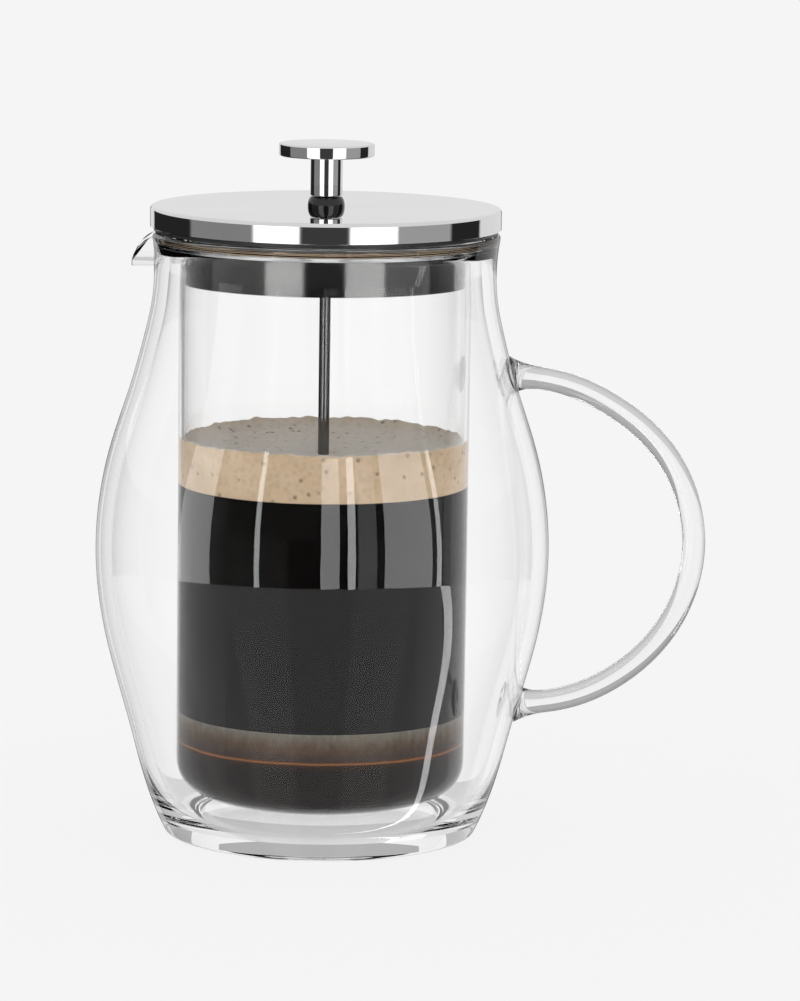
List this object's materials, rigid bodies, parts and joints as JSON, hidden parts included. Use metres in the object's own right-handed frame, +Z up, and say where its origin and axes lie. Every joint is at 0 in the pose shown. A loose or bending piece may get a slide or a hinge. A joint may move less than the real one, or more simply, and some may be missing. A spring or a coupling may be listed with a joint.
{
  "type": "french press",
  "caption": "Double-wall glass coffee press with a bellied outer wall, round glass handle, polished steel lid and a plunger with a coil-edged filter.",
  "frame": {"origin": "on the vessel's axis, in the plane of the foot ring that it stands on", "axes": "+Z up along the plunger rod; +X from the axis towards the handle; the pouring lip points to -X"},
  "size_m": [0.1907, 0.1418, 0.2163],
  "materials": {
    "outer_glass": "clear borosilicate glass",
    "inner_glass": "clear borosilicate glass",
    "lip_glass": "clear borosilicate glass",
    "handle_glass": "clear solid glass rod",
    "black_silicone": "black silicone",
    "polished_steel": "mirror-polished stainless steel",
    "plain_steel": "plain stainless steel",
    "steel_mesh": "fine woven stainless mesh",
    "black_plastic": "glossy black",
    "white_plastic": "plain nylon"
  },
  "bodies": {
    "carafe": {"outer_glass_shell": "outer_glass", "inner_glass_vessel": "inner_glass", "pouring_lip": "lip_glass", "glass_handle": "handle_glass"},
    "gasket": {"lid_gasket": "black_silicone"},
    "lid": {"lid_cover": "polished_steel", "lid_inner_plate": "plain_steel", "lid_collar": "polished_steel", "rod_bead": "black_plastic", "guide_bush": "white_plastic", "bush_lock_ring": "plain_steel"},
    "plunger": {"plunger_rod": "polished_steel", "knob_stem": "polished_steel", "knob_disc": "polished_steel", "filter_hub": "plain_steel", "spring_plate": "plain_steel", "edge_spring": "plain_steel", "mesh_screen": "steel_mesh", "cross_plate": "plain_steel", "filter_nut": "plain_steel"}
  },
  "joints": [
    {"name": "lid_lift", "type": "slide", "parent": "carafe", "child": "gasket", "axis": [0, 0, 1], "range_m": [0, 0.175]},
    {"name": "lid_turn", "type": "hinge", "parent": "gasket", "child": "lid", "pos_m": [0, 0, 0.19], "axis": [0, 0, 1], "continuous": true},
    {"name": "plunge", "type": "slide", "parent": "lid", "child": "plunger", "axis": [0, 0, 1], "range_m": [0, 0.13]}
  ]
}
